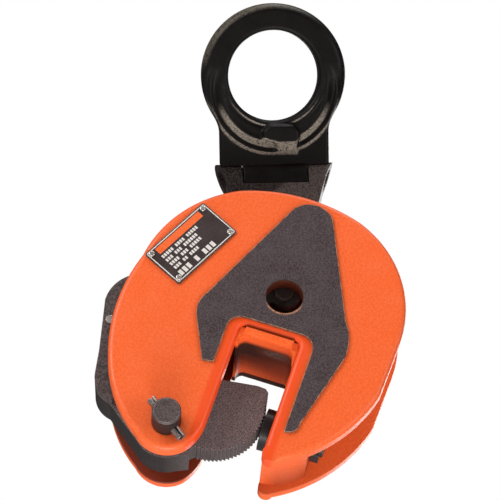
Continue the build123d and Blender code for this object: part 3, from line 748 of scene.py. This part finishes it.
# Rows of plain blocks: place across, height of the row, and the blocks in each group.
ROWS = (
    (-3.7, 1.5, (5, 4, 5)),
    (-1.3, 1.5, (3, 3, 6)),
    (1.1, 1.5, (4, 3, 5)),
    (3.5, 1.5, (3, 2, 4)),
    (6.9, 2.7, (3, 1, 3)),
)
ROW_START = -13.0
BLOCK_LENGTH, BLOCK_STEP, GROUP_GAP = 0.62, 0.88, 0.9    # shares of the row's height
CORNERS = ((-1, -1), (1, -1), (1, 1), (-1, 1))
PRINT_WHITE = surface(
    "print_white", (0.62, 0.56, 0.52), (0.80, 0.76, 0.72), 2.4, 0.5, grit=0.2, round_mm=0.05)
PRINT_ORANGE = surface(
    "print_orange", (0.80, 0.10, 0.015), (0.9, 0.16, 0.03), 1.5, 0.4, grit=0.1, round_mm=0.05)


def plate_print(name, boxes, paint):
    """Flat printed blocks on the name plate: (across, along, width, length) each, in mm."""
    verts, faces = [], []
    for across, along_plate, width, length in boxes:
        first = len(verts)
        for depth in (0.0, PRINT_T):
            for x, z in CORNERS:
                place = PLATE_MID + PLATE_X * (across + x * width / 2) * MM
                place = place + PLATE_Z * (along_plate + z * length / 2) * MM
                verts.append(Vector((place.x, PLATE_LOW.y - depth * MM, place.z)))
        faces.append(tuple(first + i for i in (3, 2, 1, 0)))
        faces.append(tuple(first + i for i in (4, 5, 6, 7)))
        for i in range(4):
            faces.append(tuple(first + k for k in (i, (i + 1) % 4, (i + 1) % 4 + 4, i + 4)))
    piece = make_piece(name, verts, faces, "name_plate", paint, smooth=False)
    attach(piece, "body")


def border_boxes():
    """Four strips just inside the edge of the plate."""
    inner_w, inner_l = PLATE_W - 2 * BORDER_INSET, PLATE_L - 2 * BORDER_INSET
    return [
        (-inner_w / 2, 0, BORDER_W, inner_l), (inner_w / 2, 0, BORDER_W, inner_l),
        (0, inner_l / 2, inner_w, BORDER_W), (0, -inner_l / 2, inner_w, BORDER_W),
    ]


def row_blocks():
    blocks = []
    for across, height, groups in ROWS:
        place = ROW_START
        for group in groups:
            for _ in range(group):
                blocks.append((across, place, height, height * BLOCK_LENGTH))
                place += height * BLOCK_STEP
            place += height * GROUP_GAP
    return blocks


plate_print("name_plate_border", border_boxes(), PRINT_WHITE)
plate_print("name_plate_band", [BAND], PRINT_ORANGE)
plate_print("name_plate_rows", row_blocks(), PRINT_WHITE)


# --------------------------------------------------------------- studio, camera
# The clamp hangs well above the floor: the camera looks up at it from below.
MIDDLE = (-0.005, 0.0, 0.03)
# Each light: name, place, size and power. All of them point at the middle of the clamp.
LIGHTS = (
    ("light_below", (0.17, -0.16, -0.64), (0.50, 0.30), 3.6),
    ("light_left", (-0.62, -0.50, 0.20), (0.45, 0.60), 4.9),
    ("light_right", (0.65, -0.45, 0.10), (0.35, 0.60), 2.6),
    ("light_above", (-0.10, -0.25, 0.75), (0.60, 0.40), 3.6),
    ("light_back", (0.15, 0.70, 0.30), (0.60, 0.60), 4.0),
)
FLOOR_Z = -0.70
FLOOR_HALF = 4.0
FLOOR_GLOW = 0.22
WORLD_FILL = 0.07                # what the white background adds to the light
# Where the photo was taken from, and how the camera was turned, fitted to the photo.
CAMERA_AT = Vector((0.0826, -0.8393, -0.3929))
CAMERA_RIGHT = Vector((0.9511, -0.0419, 0.3060)).normalized()
CAMERA_UP = Vector((-0.2885, -0.4744, 0.8317)).normalized()
FOCAL_IN_WIDTHS = 4.4            # focal length over the width of the picture
SENSOR_WIDTH_MM = 36.0


def area_light(name, place, size, power):
    data = bpy.data.lights.new(name, "AREA")
    data.shape = "RECTANGLE"
    data.size, data.size_y = size
    data.energy = power
    lamp = bpy.data.objects.new(name, data)
    lamp.location = place
    lamp.rotation_mode = "QUATERNION"
    lamp.rotation_quaternion = (Vector(MIDDLE) - Vector(place)).to_track_quat("-Z", "Y")
    bpy.context.scene.collection.objects.link(lamp)


def build_floor():
    """A plain pale floor, faintly glowing, so that it stays light where few lights reach it."""
    corners = [(x * FLOOR_HALF, y * FLOOR_HALF, FLOOR_Z) for x, y in CORNERS]
    floor = mesh_object("floor", corners, [(0, 1, 2, 3)])
    paint = bpy.data.materials.new("floor_paint")
    paint.use_nodes = True
    inputs = paint.node_tree.nodes["Principled BSDF"].inputs
    inputs["Base Color"].default_value = (0.82, 0.82, 0.81, 1)
    inputs["Roughness"].default_value = 0.9
    inputs["Emission Color"].default_value = (1, 1, 0.99, 1)
    inputs["Emission Strength"].default_value = FLOOR_GLOW
    floor.data.materials.append(paint)


def build_world():
    """White to the camera, and a faint fill to everything else."""
    world = bpy.data.worlds.new("studio")
    bpy.context.scene.world = world
    world.use_nodes = True
    tree = world.node_tree
    seen = tree.nodes["Background"]
    seen.inputs["Color"].default_value = (1, 1, 1, 1)
    seen.inputs["Strength"].default_value = 1.0
    fill = tree.nodes.new("ShaderNodeBackground")
    fill.inputs["Color"].default_value = (1, 0.98, 0.96, 1)
    fill.inputs["Strength"].default_value = WORLD_FILL
    blend = tree.nodes.new("ShaderNodeMixShader")
    link(tree, tree.nodes.new("ShaderNodeLightPath").outputs["Is Camera Ray"], blend.inputs["Fac"])
    link(tree, fill.outputs[0], blend.inputs[1])
    link(tree, seen.outputs[0], blend.inputs[2])
    link(tree, blend.outputs[0], tree.nodes["World Output"].inputs["Surface"])


def build_camera():
    data = bpy.data.cameras.new("camera")
    data.sensor_width = SENSOR_WIDTH_MM
    data.lens = FOCAL_IN_WIDTHS * data.sensor_width
    camera = bpy.data.objects.new("camera", data)
    bpy.context.scene.collection.objects.link(camera)
    back = CAMERA_RIGHT.cross(CAMERA_UP)
    columns = (CAMERA_RIGHT, CAMERA_UP, back, CAMERA_AT)
    camera.matrix_world = Matrix([[column[row] for column in columns] for row in range(3)] + [(0, 0, 0, 1)])
    bpy.context.scene.camera = camera


for light_name, light_at, light_size, light_power in LIGHTS:
    area_light(light_name, light_at, light_size, light_power)
build_floor()
build_world()
build_camera()
bpy.context.scene.view_settings.view_transform = "Standard"
